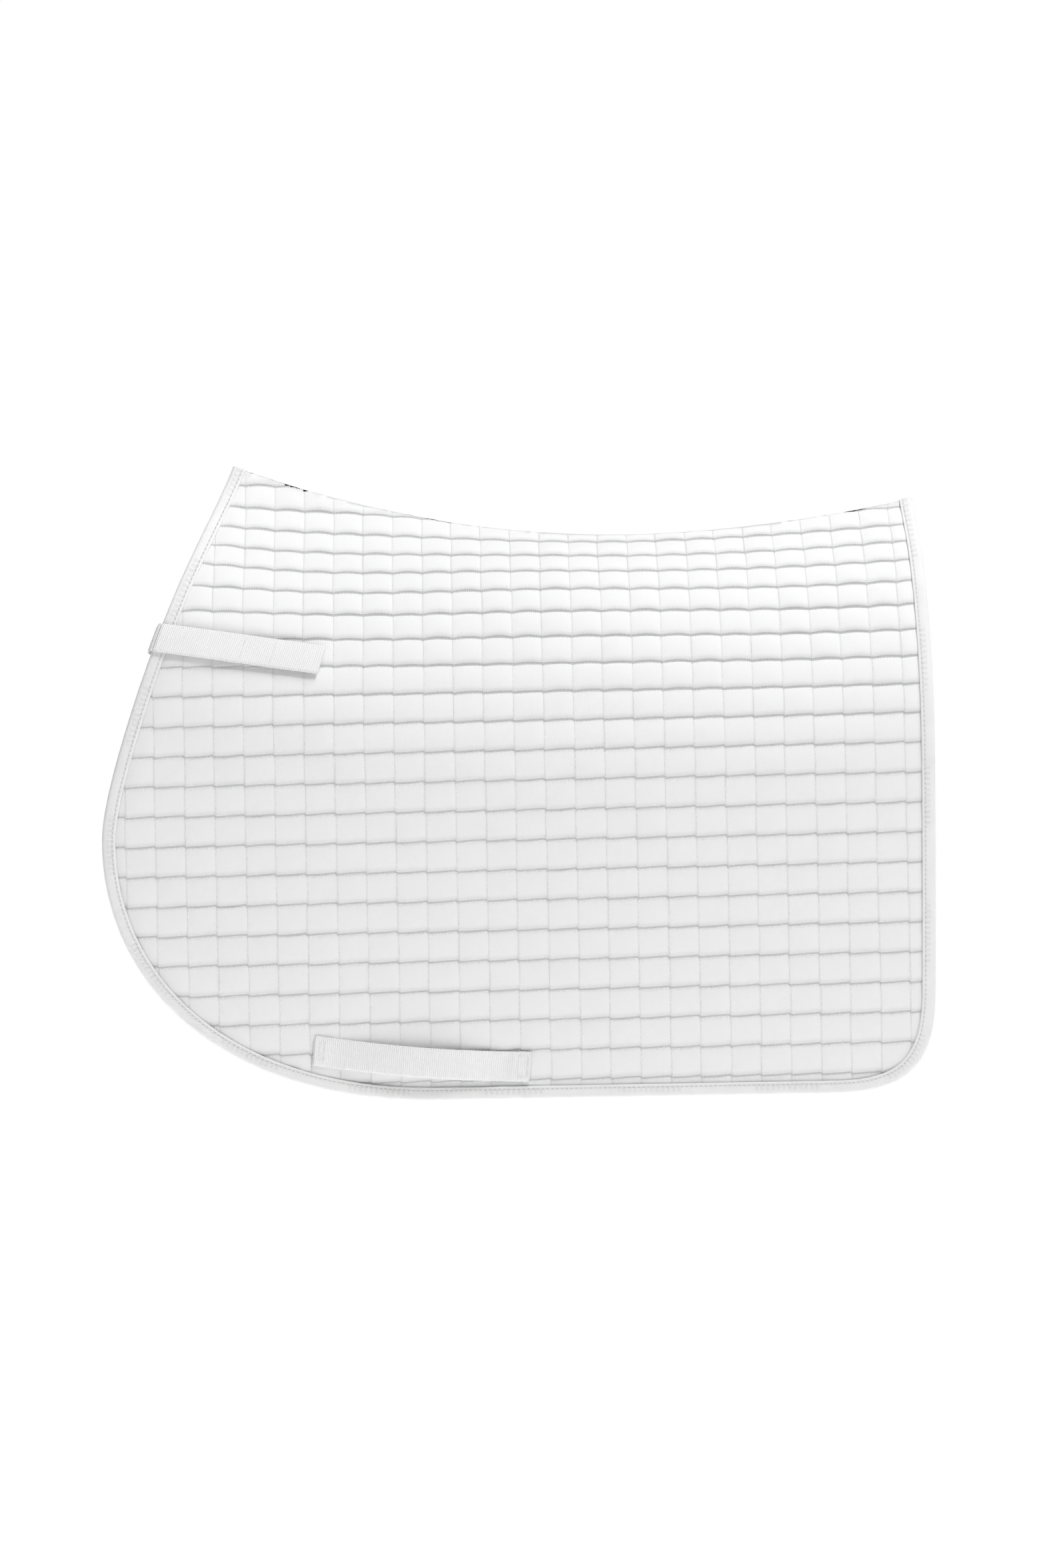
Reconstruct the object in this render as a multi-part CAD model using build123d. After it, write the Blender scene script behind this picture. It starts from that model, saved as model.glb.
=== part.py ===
from build123d import *
import os
from functools import lru_cache
import numpy as np

# Quilted saddle pad, draped as it lies under an English jumping saddle.
# X runs from the withers (-X, the rounded forward-cut flap) to the tail (+X), +Z is up, and
# the Y = 0 plane runs through the spine seam.  The origin is on the underside of the spine.
# Each half is modelled on the -Y side and mirrored.  All lengths are in millimetres.

# --- the draped surface -------------------------------------------------------------------
HALF_WIDTH = 132.0          # from the spine seam to the flap, which hangs vertically
SEAM_LOW_X = 80.0           # lowest point of the dipped spine line
SEAM_LOW_Z = 7.2
WITHERS_RUN, WITHERS_RISE = 328.0, 58.6     # the spine climbs towards the withers ...
LOIN_RUN, LOIN_RISE = 258.0, 31.0           # ... and, less, towards the loin
# How far the cloth leans from horizontal, in degrees, at distances down the cloth from the
# seam, for a section near the withers, one in the middle and one near the tail.
SLOPE_AT = (0, 30, 60, 90, 120, 160, 220, 270)
WITHERS_SLOPES = (70, 50, 46, 43, 46, 58, 77, 90)
MIDDLE_SLOPES = (29, 31, 34, 44, 57, 67, 77, 90)
TAIL_SLOPES = (48, 36, 40, 47, 55, 61, 74, 90)
MIDDLE_X, SECTION_SPACING = 45.0, 275.0
CURVE_END = SLOPE_AT[-1]

# --- side view: Bezier segments from the withers end of the seam round to its tail end -----
BOTTOM_Z = -469.0           # where the lowest cloth ends, inside the binding
OUTLINE = (
    ((-247, 65.6), (-263, 20), (-348.5, -190), (-348.5, -255.4)),
    ((-348.5, -255.4), (-348.5, -372), (-252, -475), (-67, -471.8)),
    ((-67, -471.8), (40, -469.9), (150, -468), (262, -466)),
    ((262, -466), (316, -465), (346, -449), (346.2, -380)),
    ((346.2, -380), (346.6, -200), (345.5, -40), (337, 38.6)),
)

# --- layers: depths are measured inwards from the outer face of the quilted cloth ---------
GAP = 0.2                   # between pieces that are sewn together
CLEAR = 0.6                 # between facets that do not run together
CLOTH = 0.8
FOAM = 6.0
TOTAL = CLOTH + GAP + FOAM + GAP + CLOTH
TAPE = 1.0                  # binding and seam tape
WEBBING = 1.6
PATCH = 0.8                 # hook and loop patches
THREAD = 0.5

# --- edge binding -------------------------------------------------------------------------
BINDING_WIDTH = 11.0
BINDING_STITCH_INSET = 8.5

# --- spine --------------------------------------------------------------------------------
SPINE_TAPE_HALF_WIDTH = 12.0
SPINE_STITCH_Y = 9.0
SEAM_GAP = 0.3

# --- front strap: webbing round the front edge, closed by hook and loop -------------------
STRAP_FRONT = (-301.0, -85.0)               # middle of the strap at the front edge
STRAP_END = (-165.4, -104.3)                # middle of its free end
STRAP_HALF_WIDTH = 11.4                     # in side view: 24 to 26 mm across on the slope
STRAP_EDGE_LEAN = 0.31                      # both ends run parallel to the leaning front edge
STRAP_STANDOFF = 3.4                        # room for both patches under the webbing
FOLD_REACH = 1.0                            # clear space between binding and fold
HOOK_SPAN = (0.51, 0.72)                    # along the strap, as shares of its outside length
LOOP_SPAN = (0.44, 0.86)
OVER_BINDING = 0.095                        # the inner leg's share that crosses the binding
SEWN_SPAN = (0.13, 0.52)                    # and what is sewn down, to its end
STITCH_SHARE = 0.005                        # a row of stitches across the strap
BOX_SPAN = (0.24, 0.48)

# --- girth loop ---------------------------------------------------------------------------
LOOP_CENTRE = (-82.0, -436.6)               # in the side view
LOOP_LENGTH = 181.0
LOOP_WIDTH = 25.0
LOOP_TILT = 4.3
LOOP_BOW = 8.0                              # how far the middle stands off the flap
LOOP_FLAT = 14.0                            # sewn length at each end
LOOP_HEM = 10.0                             # turned-under end

# --- how finely the curved cloth is divided into facets ------------------------------------
COLUMNS = 27
CURVE_ROWS = 13
FLAP_ROWS = 7
FIRST_ROW = 0.11            # the row next to the seam, as a share of the curved part
HEM_CROWDING = 1.5          # how much closer the flap's rows lie towards the hem
EDGE_STEPS = 18             # along each Bezier segment of the outline


def seam_height(x):
    """Height of the spine line at x."""
    along = x - SEAM_LOW_X
    if along < 0:
        return SEAM_LOW_Z + WITHERS_RISE * (along / WITHERS_RUN) ** 2
    return SEAM_LOW_Z + LOIN_RISE * (along / LOIN_RUN) ** 1.8


def lean(x, down):
    """Slope of the cloth from horizontal, in radians, at distances down from the seam."""
    blend = min(abs(x - MIDDLE_X) / SECTION_SPACING, 1.0)
    blend = blend * blend * (3 - 2 * blend)
    middle = np.interp(down, SLOPE_AT, MIDDLE_SLOPES)
    end = np.interp(down, SLOPE_AT, WITHERS_SLOPES if x < MIDDLE_X else TAIL_SLOPES)
    return np.radians(middle + (end - middle) * blend)


@lru_cache(maxsize=None)
def section(x):
    """Distances down the cloth, with the distance out and the drop at each."""
    down = np.linspace(0, CURVE_END, CURVE_END + 1)
    slope = lean(x, down)
    out = np.concatenate([[0], np.cumsum((np.cos(slope)[1:] + np.cos(slope)[:-1]) / 2)])
    drop = np.concatenate([[0], np.cumsum((np.sin(slope)[1:] + np.sin(slope)[:-1]) / 2)])
    return down, out * HALF_WIDTH / out[-1], drop


def cloth(x, down, depth):
    """The point at x, a distance down the cloth from the seam and at depth below its face."""
    stations, out, drop = section(x)
    slope = lean(x, down)
    below = np.interp(down, stations, drop) + max(down - CURVE_END, 0)
    y = -np.interp(down, stations, out) + depth * np.sin(slope)
    return (x, y, seam_height(x) - below - depth * np.cos(slope))


def down_to(x, z):
    """How far down the cloth its face reaches the height z."""
    stations, _, drop = section(x)
    below = seam_height(x) - z
    return np.interp(below, drop, stations) + max(below - drop[-1], 0)


def on_side(x, z, depth):
    """The point that the side view shows at (x, z), at depth below the face."""
    return cloth(x, down_to(x, z), depth)


def seam_start(x, depth):
    """How far down the cloth the layer at depth comes clear of the spine plane."""
    near_seam = np.linspace(0, 40, 81)
    y = [cloth(x, down, depth)[1] for down in near_seam]
    return np.interp(SEAM_GAP / 2, np.negative(y), near_seam)


def outline_run(first, last, inset):
    """Points of the outline, drawn in by inset, from one of its segments to another."""
    points = []
    for p0, p1, p2, p3 in (np.array(segment, float) for segment in OUTLINE[first:last + 1]):
        for t in np.linspace(0, 1, EDGE_STEPS + 1)[bool(points):]:
            r = 1 - t
            along = (p1 - p0) * r * r + (p2 - p1) * 2 * r * t + (p3 - p2) * t * t
            along /= np.linalg.norm(along)
            point = p0 * r**3 + p1 * 3 * r * r * t + p2 * 3 * r * t * t + p3 * t**3
            points.append(point + inset * np.array([-along[1], along[0]]))
    return np.array(points)


def front_x(z, inset):
    """Where the front edge, drawn in by inset, crosses the height z."""
    run = outline_run(0, 0, inset)[::-1]
    return np.interp(z, run[:, 1], run[:, 0])


def sheet(upper, lower):
    """A closed solid between two grids of points, made of flat facets."""
    upper, lower = np.array(upper), np.array(lower)
    rows, columns = upper.shape[:2]

    def facets(a, b, c, d):
        corners = [Vector(*p) for p in (a, b, c, d)]
        return [
            Face(Wire.make_polygon([corners[0], corners[i], corners[i + 1]])) for i in (1, 2)
        ]

    faces = []
    for i in range(rows - 1):
        for j in range(columns - 1):
            for grid in (upper, lower):
                faces += facets(grid[i, j], grid[i, j + 1], grid[i + 1, j + 1], grid[i + 1, j])
    for i in range(rows - 1):
        for j in (0, columns - 1):
            faces += facets(upper[i, j], upper[i + 1, j], lower[i + 1, j], lower[i, j])
    for j in range(columns - 1):
        for i in (0, rows - 1):
            faces += facets(upper[i, j], upper[i, j + 1], lower[i, j + 1], lower[i, j])
    return Solid(Shell(faces))


def flap_span(x):
    """Heights of the cloth's face where the flap begins to hang straight, and at the bottom."""
    return seam_height(x) - section(x)[2][-1], BOTTOM_Z


def row_of(x, z):
    """Which row a side-view point is in: 0 on the seam, 1 at the top of the flap, 2 at the hem."""
    top, bottom = flap_span(x)
    return down_to(x, z) / CURVE_END if z > top else 1 + (top - z) / (top - bottom)


def down_row(x, row):
    """How far down the cloth that row is at x."""
    top, bottom = flap_span(x)
    return row * CURVE_END if row <= 1 else CURVE_END + (row - 1) * (top - bottom)


def panel_layer(depth, thickness):
    """One full layer of a half: it stops at the spine plane and inside the binding."""
    inset = TAPE + CLEAR
    runs = [outline_run(0, 1, inset), outline_run(3, 4, inset)[::-1]]
    reached = [[row_of(x, z) for x, z in run] for run in runs]
    flap = 2 - (1 - np.linspace(0, 1, FLAP_ROWS + 1)[1:]) ** HEM_CROWDING
    rows = np.concatenate([[0], np.linspace(FIRST_ROW, 1, CURVE_ROWS), flap])
    rows[-1] = min(max(reached[0]), max(reached[1]))
    grids = [[], []]
    for row in rows:
        first, last = (np.interp(row, at, run[:, 0]) for at, run in zip(reached, runs))
        for grid, at in zip(grids, (depth, depth + thickness)):
            line = []
            for x in np.linspace(first, last, COLUMNS):
                down = seam_start(x, at) if row == 0 else down_row(x, row)
                line.append(cloth(x, down, at))
            grid.append(line)
    return sheet(*grids)


def outer_shell():
    return panel_layer(0, CLOTH)


def foam_core():
    return panel_layer(CLOTH + GAP, FOAM)


def lining():
    return panel_layer(CLOTH + GAP + FOAM + GAP, CLOTH)


def edge_points(corners):
    """A grid along the edge, with one column for each (inset, depth) pair.

    It ends where the tape's inner leg would cross the spine plane."""
    deepest = TOTAL + CLEAR + TAPE + GAP + THREAD
    clear = [
        [on_side(x, z, deepest)[1] < -SEAM_GAP for x, z in outline_run(0, 4, inset)]
        for inset in (0, BINDING_WIDTH)
    ]
    columns = [
        [on_side(x, z, depth) for x, z in outline_run(0, 4, inset)] for inset, depth in corners
    ]
    return np.swapaxes(np.array(columns), 0, 1)[np.all(clear, axis=0)]


def edge_binding():
    """Tape folded round the front, bottom and rear edges."""
    over, under = -CLEAR, TOTAL + CLEAR
    outside = ((BINDING_WIDTH, over - TAPE), (0, over - TAPE), (0, under + TAPE),
               (BINDING_WIDTH, under + TAPE))
    inside = ((BINDING_WIDTH, over), (TAPE, over), (TAPE, under), (BINDING_WIDTH, under))
    return sheet(edge_points(outside), edge_points(inside))


def binding_stitching():
    """One lockstitched seam, seen as a thread on the outer and on the inner leg."""
    inner_side = BINDING_STITCH_INSET + THREAD

    def bead(depth):
        rims = [
            edge_points(((BINDING_STITCH_INSET, at), (inner_side, at)))
            for at in (depth, depth + THREAD)
        ]
        return sheet(*rims)

    lift = CLEAR + TAPE + GAP
    return Compound([bead(-lift - THREAD), bead(TOTAL + lift)])


def along_spine(depth, thickness, y_from, y_to):
    """Two grids along the underside of the spine, from one distance off it to another."""
    front = outline_run(0, 0, 0)[0, 0] + BINDING_WIDTH + TAPE
    back = outline_run(4, 4, 0)[-1, 0] - BINDING_WIDTH - TAPE
    grids = []
    for at in (depth, depth + thickness):
        grid = []
        for x in np.linspace(front, back, COLUMNS):
            start = seam_start(x, at)
            width = np.linspace(max(y_from, SEAM_GAP / 2), y_to, 3)
            grid.append([cloth(x, start + y - SEAM_GAP / 2, at) for y in width])
        grids.append(np.array(grid))
    return grids


def mirrored(points):
    return points * (1, -1, 1)


def spine_tape():
    """One tape that runs under both halves, folded along the seam."""
    grids = along_spine(TOTAL + CLEAR, TAPE, 0, SPINE_TAPE_HALF_WIDTH)
    whole = [np.concatenate([grid[:, ::-1], mirrored(grid)], axis=1) for grid in grids]
    return sheet(*whole)


def spine_tape_stitching():
    depth = TOTAL + CLEAR + TAPE + GAP
    grids = along_spine(depth, THREAD, SPINE_STITCH_Y, SPINE_STITCH_Y + THREAD)
    return Compound([sheet(*grids), sheet(*(mirrored(grid) for grid in grids))])


def strap_point(share, side):
    """Side view of the strap: share runs from the edge to the free end, side across it."""
    (x0, z0), (x1, z1) = STRAP_FRONT, STRAP_END
    rise = side * STRAP_HALF_WIDTH
    edge = front_x(z0 + rise, 0)
    end = x1 + rise * STRAP_EDGE_LEAN
    return edge + (end - edge) * share, z0 + rise + (z1 - z0) * share


def strap_piece(span, depth, thickness, width=1.0, steps=8):
    """A length of webbing, or anything of its shape, that follows the cloth."""
    grids = [
        [
            [on_side(*strap_point(share, side * width), at) for side in (-1, 0, 1)]
            for share in np.linspace(*span, steps)
        ]
        for at in (depth, depth + thickness)
    ]
    return sheet(*grids)


def strap_tail():
    """The free part of the strap, on the outside of the pad."""
    return strap_piece((0, 1), -STRAP_STANDOFF - WEBBING, WEBBING, steps=12)


def strap_fold():
    """The turn of the webbing round the front edge."""
    near, far = -STRAP_STANDOFF, TOTAL + 3 * CLEAR + TAPE

    def wrap(reach, over, under):
        corners = ((-GAP, over), (-reach, over), (-reach, under), (-GAP, under))
        heights = [STRAP_FRONT[1] + side * STRAP_HALF_WIDTH for side in (-1, 0, 1)]
        return [
            [on_side(front_x(z, inset), z, depth) for inset, depth in corners] for z in heights
        ]

    outside = wrap(FOLD_REACH + WEBBING, near - WEBBING, far + WEBBING)
    return sheet(outside, wrap(FOLD_REACH, near, far))


def strap_anchor():
    """The inner leg, sewn to the lining from the binding inwards."""
    lying = TOTAL + CLEAR
    crossing = TOTAL + 3 * CLEAR + TAPE
    stations = [(0, crossing), (OVER_BINDING, crossing)]
    stations += [(share, lying) for share in np.linspace(*SEWN_SPAN, 5)]
    grids = [
        [
            [on_side(*strap_point(share, side), at + extra) for side in (-1, 0, 1)]
            for share, at in stations
        ]
        for extra in (0, WEBBING)
    ]
    return sheet(*grids)


def strap_stitching():
    """Two rows of stitches that hold the inner leg to the pad."""
    depth = TOTAL + CLEAR + WEBBING + GAP
    rows = [
        strap_piece((share, share + STITCH_SHARE), depth, THREAD, width=0.8, steps=2)
        for share in BOX_SPAN
    ]
    return Compound(rows)


def loop_patch():
    return strap_piece(LOOP_SPAN, -GAP - PATCH, PATCH, width=0.95)


def hook_patch():
    return strap_piece(HOOK_SPAN, GAP - STRAP_STANDOFF, PATCH, width=0.9)


def hook_patch_stitching():
    """Two rows of stitches across the strap, one at each end of the hook patch."""
    depth = -STRAP_STANDOFF - WEBBING - GAP - THREAD
    rows = [
        strap_piece((share, share + STITCH_SHARE), depth, THREAD, width=0.8, steps=2)
        for share in (HOOK_SPAN[0] + 0.01, HOOK_SPAN[1] - 0.015)
    ]
    return Compound(rows)


def place_on_flap(shape):
    """Move a shape drawn about the loop's middle, with its back at y = 0, onto the flap."""
    x, z = LOOP_CENTRE
    return Pos(x, -HALF_WIDTH - GAP, z) * Rot(0, LOOP_TILT, 0) * shape


def girth_loop():
    """Webbing sewn flat at both ends and bowed between them, hemmed at its rear end."""
    half = LOOP_LENGTH / 2
    low, high = -WEBBING / 2, -WEBBING * 1.5
    shoulder = half - LOOP_FLAT
    path = (
        Line((-half, low), (-shoulder, low))
        + Spline((-shoulder, low), (0, low - LOOP_BOW), (shoulder, high),
                 tangents=[(1, 0), (1, 0)])
        + Line((shoulder, high), (half, high))
    )
    strip = extrude(trace(path, WEBBING), amount=LOOP_WIDTH / 2, both=True)
    hem = Pos(half - LOOP_HEM / 2, low, 0) * Box(LOOP_HEM, WEBBING, LOOP_WIDTH)
    return place_on_flap(strip + hem)


def girth_loop_stitching():
    """A narrow bar of stitches at the front end and a box of them at the hemmed end."""
    half = LOOP_LENGTH / 2

    def stitched_box(x, y, width, height):
        frame = Box(width, THREAD, height) - Box(width - 2 * THREAD, 1, height - 2 * THREAD)
        return place_on_flap(Pos(x, y - GAP / 2 - THREAD / 2, 0) * frame)

    bar = stitched_box(7 - half, -WEBBING, 4, 15)
    box = stitched_box(half - 6, -2 * WEBBING, 8, 18)
    return Compound([bar.solid(), box.solid()])


SPINE_PIECES = {"spine_tape": spine_tape, "spine_tape_stitching": spine_tape_stitching}
HALF_PIECES = {
    "outer_shell": outer_shell,
    "foam_core": foam_core,
    "lining": lining,
    "edge_binding": edge_binding,
    "binding_stitching": binding_stitching,
    "strap_anchor": strap_anchor,
    "strap_fold": strap_fold,
    "strap_tail": strap_tail,
    "strap_stitching": strap_stitching,
    "loop_patch": loop_patch,
    "hook_patch": hook_patch,
    "hook_patch_stitching": hook_patch_stitching,
    "girth_loop": girth_loop,
    "girth_loop_stitching": girth_loop_stitching,
}

os.makedirs("parts", exist_ok=True)
for name, make in SPINE_PIECES.items():
    export_step(make(), f"parts/{name}.step")
for name, make in HALF_PIECES.items():
    left = make()
    export_step(left, f"parts/left_{name}.step")
    export_step(mirror(left, about=Plane.XZ), f"parts/right_{name}.step")
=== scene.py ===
import math
import bpy
import numpy as np
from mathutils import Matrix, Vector


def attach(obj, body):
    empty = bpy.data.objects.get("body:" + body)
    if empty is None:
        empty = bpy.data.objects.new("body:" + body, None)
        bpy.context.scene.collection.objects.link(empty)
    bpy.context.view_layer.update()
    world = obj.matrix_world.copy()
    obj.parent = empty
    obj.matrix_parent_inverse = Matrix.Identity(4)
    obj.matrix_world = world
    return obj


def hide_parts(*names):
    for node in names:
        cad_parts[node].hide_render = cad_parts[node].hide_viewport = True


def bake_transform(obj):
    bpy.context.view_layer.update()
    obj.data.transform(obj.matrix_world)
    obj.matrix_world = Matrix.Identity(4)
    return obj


# Looks of the quilted saddle pad. Shapes are worked out in millimetres on the same draped surface
# as the CAD model, one half on -Y, and the other half mirrored. MM takes them to metres.
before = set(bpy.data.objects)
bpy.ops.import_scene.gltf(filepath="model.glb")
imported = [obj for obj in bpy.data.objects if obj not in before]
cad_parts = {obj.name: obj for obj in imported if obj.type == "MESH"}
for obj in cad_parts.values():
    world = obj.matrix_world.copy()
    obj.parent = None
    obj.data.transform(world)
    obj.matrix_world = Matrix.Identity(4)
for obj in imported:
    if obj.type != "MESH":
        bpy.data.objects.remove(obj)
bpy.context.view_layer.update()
MM = 0.001

# --- the draped surface, as in the CAD model ------------------------------------------------
HALF_WIDTH = 132.0
SEAM_LOW_X, SEAM_LOW_Z = 80.0, 7.2
WITHERS_RUN, WITHERS_RISE = 328.0, 58.6
LOIN_RUN, LOIN_RISE = 258.0, 31.0
SLOPE_AT = (0, 30, 60, 90, 120, 160, 220, 270)
WITHERS_SLOPES = (70, 50, 46, 43, 46, 58, 77, 90)
MIDDLE_SLOPES = (29, 31, 34, 44, 57, 67, 77, 90)
TAIL_SLOPES = (48, 36, 40, 47, 55, 61, 74, 90)
MIDDLE_X, SECTION_SPACING = 45.0, 275.0
CURVE_END = 270
OUTLINE = (
    ((-247, 65.6), (-263, 20), (-348.5, -190), (-348.5, -255.4)),
    ((-348.5, -255.4), (-348.5, -372), (-252, -475), (-67, -471.8)),
    ((-67, -471.8), (40, -469.9), (150, -468), (262, -466)),
    ((262, -466), (316, -465), (346, -449), (346.2, -380)),
    ((346.2, -380), (346.6, -200), (345.5, -40), (337, 38.6)),
)
TOTAL = 8.0                  # cloth, foam and lining together
BINDING_WIDTH, BINDING_STITCH_INSET = 11.0, 8.5
SPINE_TAPE_HALF_WIDTH = 12.0
SPINE_STITCH_Y = 9.25
WEBBING = 1.6
STRAP_FRONT, STRAP_END = (-301.0, -85.0), (-165.4, -104.3)
STRAP_HALF_WIDTH, STRAP_EDGE_LEAN = 11.4, 0.31
WEAVE_HALF_WIDTH = 12.0      # half of the width that the webbing's weave is drawn on
STRAP_STANDOFF = 3.4
STRAP_DROP = 1.5             # lowers the strap, which its standoff lifts in the side view
HOOK_SPAN, LOOP_SPAN = (0.51, 0.72), (0.44, 0.86)
SEWN_END = 0.52
LOOP_CENTRE = (-82.0, -436.6)
LOOP_LENGTH, LOOP_WIDTH, LOOP_TILT, LOOP_BOW = 181.0, 25.0, 4.3, 8.0
LOOP_FLAT, LOOP_HEM, LOOP_SAG = 14.0, 10.0, 3.0

# --- quilting: a nearly square grid that runs a little askew -------------------------------
CELL = 25.0
CELL_ALONG = 25.06
SKEW = 0.0208
GRID_X, GRID_W = 46.9, -230.2     # one crossing of the grid
ROW_STOPS = (0, .045, .12, .26, .5, .74, .88, .955)      # where a cell is divided, up it
COLUMN_STOPS = (0, .05, .15, .32, .5, .68, .85, .95)     # and along it
FLAP_PUFF, ARCH_PUFF = 2.0, 3.0
STITCH_PITCH = 1.85

GRID_COLUMNS, GRID_ROWS = (-18, 15), (-11, 20)           # cells that cover a whole half
THREAD_RADIUS = 0.4
SHELL_GROOVE, LINING_GROOVE = 0.95, TOTAL - 0.9          # depth of the sewn lines
X_STEP = 3.0
X_TABLE = np.arange(-381, 382, X_STEP)
DOWN = np.arange(0, CURVE_END + 1)


def smooth(value, start, end):
    t = np.clip((value - start) / (end - start), 0, 1)
    return t * t * (3 - 2 * t)


def noise(i, j, k=0.0):
    """A repeatable scatter from -1 to 1 for each pair of numbers."""
    return np.modf(np.abs(np.sin(i * 127.1 + j * 311.7 + k * 74.7) * 43758.5453))[0] * 2 - 1


def seam_height(x):
    along = np.asarray(x, float) - SEAM_LOW_X
    withers = WITHERS_RISE * (np.minimum(along, 0) / WITHERS_RUN) ** 2
    return SEAM_LOW_Z + withers + LOIN_RISE * (np.maximum(along, 0) / LOIN_RUN) ** 1.8


def slopes(x):
    blend = smooth(abs(x - MIDDLE_X), 0, SECTION_SPACING)
    middle = np.interp(DOWN, SLOPE_AT, MIDDLE_SLOPES)
    end = np.interp(DOWN, SLOPE_AT, WITHERS_SLOPES if x < MIDDLE_X else TAIL_SLOPES)
    return np.radians(middle + (end - middle) * blend)


LEAN = np.array([slopes(x) for x in X_TABLE])


def summed(values):
    steps = (values[:, 1:] + values[:, :-1]) / 2
    return np.concatenate([np.zeros((len(values), 1)), np.cumsum(steps, axis=1)], axis=1)


OUT = summed(np.cos(LEAN))
OUT *= HALF_WIDTH / OUT[:, -1:]
DROP = summed(np.sin(LEAN))


def look_up(table, x, down):
    i = np.clip((x - X_TABLE[0]) / X_STEP, 0, len(X_TABLE) - 1.001)
    j = np.clip(down, 0, CURVE_END - 0.001)
    i0, j0 = i.astype(int), j.astype(int)
    fi, fj = i - i0, j - j0
    low = table[i0, j0] * (1 - fi) + table[i0 + 1, j0] * fi
    high = table[i0, j0 + 1] * (1 - fi) + table[i0 + 1, j0 + 1] * fi
    return low * (1 - fj) + high * fj


def cloth(x, down, depth):
    """Points at x, a distance down the cloth from the seam and at depth below its face."""
    x, down, depth = np.broadcast_arrays(*(np.asarray(a, float) for a in (x, down, depth)))
    slope = look_up(LEAN, x, down)
    y = np.minimum(depth * np.sin(slope) - look_up(OUT, x, down), -0.15)
    below = look_up(DROP, x, down) + np.maximum(down - CURVE_END, 0)
    return np.stack([x, y, seam_height(x) - below - depth * np.cos(slope)], axis=-1)


def down_to(x, z):
    """How far down the cloth its face reaches the height z."""
    x, z = np.broadcast_arrays(np.asarray(x, float), np.asarray(z, float))
    below = seam_height(x) - z
    found = np.empty(below.size)
    rows = np.clip(np.rint((x.ravel() - X_TABLE[0]) / X_STEP), 0, len(X_TABLE) - 1).astype(int)
    for n, (row, drop) in enumerate(zip(rows, below.ravel())):
        found[n] = np.interp(drop, DROP[row], DOWN) + max(drop - DROP[row, -1], 0)
    return found.reshape(below.shape)


def on_side(x, z, depth):
    return cloth(x, down_to(x, z), depth)


def outline(step, first=0, last=4):
    """Points every step along the outline, the direction inwards and the run at each."""
    t = np.linspace(0, 1, 400)[:, None]
    fine = []
    for segment in OUTLINE[first:last + 1]:
        p0, p1, p2, p3 = (np.array(p, float) for p in segment)
        r = 1 - t
        curve = p0 * r**3 + p1 * 3 * r * r * t + p2 * 3 * r * t * t + p3 * t**3
        fine.append(curve[bool(fine):])
    fine = np.concatenate(fine)
    run = np.concatenate([[0], np.cumsum(np.linalg.norm(np.diff(fine, axis=0), axis=1))])
    at = np.linspace(0, run[-1], max(int(run[-1] / step), 2) + 1)
    points = np.stack([np.interp(at, run, fine[:, i]) for i in (0, 1)], axis=1)
    along = np.gradient(points, axis=0)
    along /= np.linalg.norm(along, axis=1)[:, None]
    return points, np.stack([-along[:, 1], along[:, 0]], axis=1), at


EDGE, EDGE_IN, EDGE_RUN = outline(1.8)
FRONT, FRONT_IN, _ = outline(2.0, 0, 0)


def front_x(z, inset=0.0):
    run = (FRONT + FRONT_IN * inset)[::-1]
    return np.interp(z, run[:, 1], run[:, 0])


def edge_distance(x, z):
    flat = np.stack([x.ravel(), z.ravel()], axis=1)
    line = EDGE[::2]
    parts = np.array_split(flat, max(len(flat) // 4000, 1))
    near = [np.sqrt(((p[:, None] - line[None]) ** 2).sum(-1)).min(1) for p in parts]
    return np.concatenate(near).reshape(x.shape)


def inside(x, z):
    """Whether side-view points lie within the outline."""
    loop = np.concatenate([EDGE[::4], EDGE[-1:], [(EDGE[-1, 0], 400), (EDGE[0, 0], 400)]])
    hit = np.zeros(x.shape, bool)
    for (x0, z0), (x1, z1) in zip(loop, np.roll(loop, -1, axis=0)):
        if z0 != z1:
            across = (z0 > z) != (z1 > z)
            hit ^= across & (x < (x1 - x0) * (z - z0) / (z1 - z0) + x0)
    return hit


def under_strap(x, z):
    """1 where the strap or the girth loop presses the quilting flat, fading to 0 round it."""
    share = (x - STRAP_FRONT[0]) / (STRAP_END[0] - STRAP_FRONT[0])
    line = STRAP_FRONT[1] + (STRAP_END[1] - STRAP_FRONT[1]) * share
    strap = (1 - smooth(share, 0.9, 1.02)) * (1 - smooth(np.abs(z - line), 10, 17))
    tilt = math.tan(math.radians(LOOP_TILT))
    along = x - LOOP_CENTRE[0]
    off = np.abs(z - LOOP_CENTRE[1] + along * tilt)
    ends = 1 - smooth(np.abs(np.abs(along) - (LOOP_LENGTH - LOOP_FLAT) / 2), 5, 11)
    return np.maximum(strap, ends * (1 - smooth(off, 10, 15)))


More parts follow.
